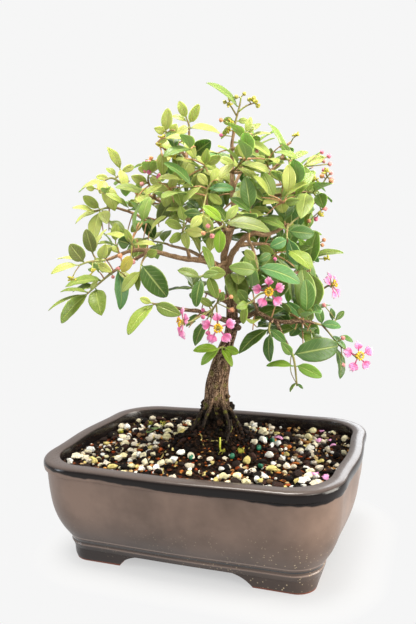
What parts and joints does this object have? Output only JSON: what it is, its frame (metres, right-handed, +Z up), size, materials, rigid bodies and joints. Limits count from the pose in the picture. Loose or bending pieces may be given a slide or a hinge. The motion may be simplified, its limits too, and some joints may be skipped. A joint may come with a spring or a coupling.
{
  "type": "barbados cherry bonsai",
  "caption": "Small flowering Barbados cherry tree trained as a bonsai, in a glazed footed rectangular pot filled with gritty soil.",
  "frame": {"origin": "on the surface that the feet stand on, under the middle of the whole plant and pot", "axes": "+Z up, +X along the pot's length, +Y from the pot's front to its back"},
  "size_m": [0.2124, 0.1672, 0.3087],
  "materials": {
    "glaze": "glossy taupe brown glaze, darker under the lip",
    "mesh": "matt moulded plastic mesh",
    "soil": "loose pumice, lava, bark and peat",
    "bark": "rough furrowed bark",
    "leaf": "smooth green leaves, slightly glossy",
    "petal": "thin crinkled pink petals",
    "stamen": "yellow anthers",
    "fruit": "smooth unripe green skin"
  },
  "bodies": {
    "root": {"drain_mesh_left": "mesh", "drain_mesh_right": "mesh", "flower_behind": "petal", "flower_centre": "petal", "flower_left": "petal", "flower_left_side": "petal", "flower_right": "petal", "fruit": "fruit", "pot": "glaze", "soil": "soil", "spray_back_left": "leaf", "spray_back_low": "leaf", "spray_back_low_right": "leaf", "spray_back_middle": "leaf", "spray_back_right": "leaf", "spray_back_top": "leaf", "spray_back_top_left": "leaf", "spray_back_top_right": "leaf", "spray_centre": "leaf", "spray_crown_apex": "leaf", "spray_crown_inner": "leaf", "spray_crown_left": "leaf", "spray_crown_left_end": "leaf", "spray_crown_left_top": "leaf", "spray_crown_middle": "leaf", "spray_crown_right": "leaf", "spray_front_low": "leaf", "spray_front_pale": "leaf", "spray_front_right": "leaf", "spray_left_bottom": "leaf", "spray_left_inner": "leaf", "spray_left_low_front": "leaf", "spray_left_low_outer": "leaf", "spray_left_low_tip": "leaf", "spray_left_middle": "leaf", "spray_left_middle_inner": "leaf", "spray_left_riser": "leaf", "spray_left_top": "leaf", "spray_left_under": "leaf", "spray_left_upper_inner": "leaf", "spray_left_upper_tip": "leaf", "spray_right_low_giant": "leaf", "spray_right_low_inner": "leaf", "spray_right_low_middle": "leaf", "spray_right_low_tip": "leaf", "spray_right_low_under": "leaf", "spray_right_middle_inner": "leaf", "spray_right_middle_upper": "leaf", "spray_right_tip": "leaf", "spray_right_top": "leaf", "spray_right_top_inner": "leaf", "spray_right_upper": "leaf", "spray_right_upper_inner": "leaf", "spray_trunk": "leaf", "stamens_behind": "stamen", "stamens_centre": "stamen", "stamens_left": "stamen", "stamens_left_side": "stamen", "stamens_right": "stamen", "wood": "bark"}
  },
  "joints": []
}
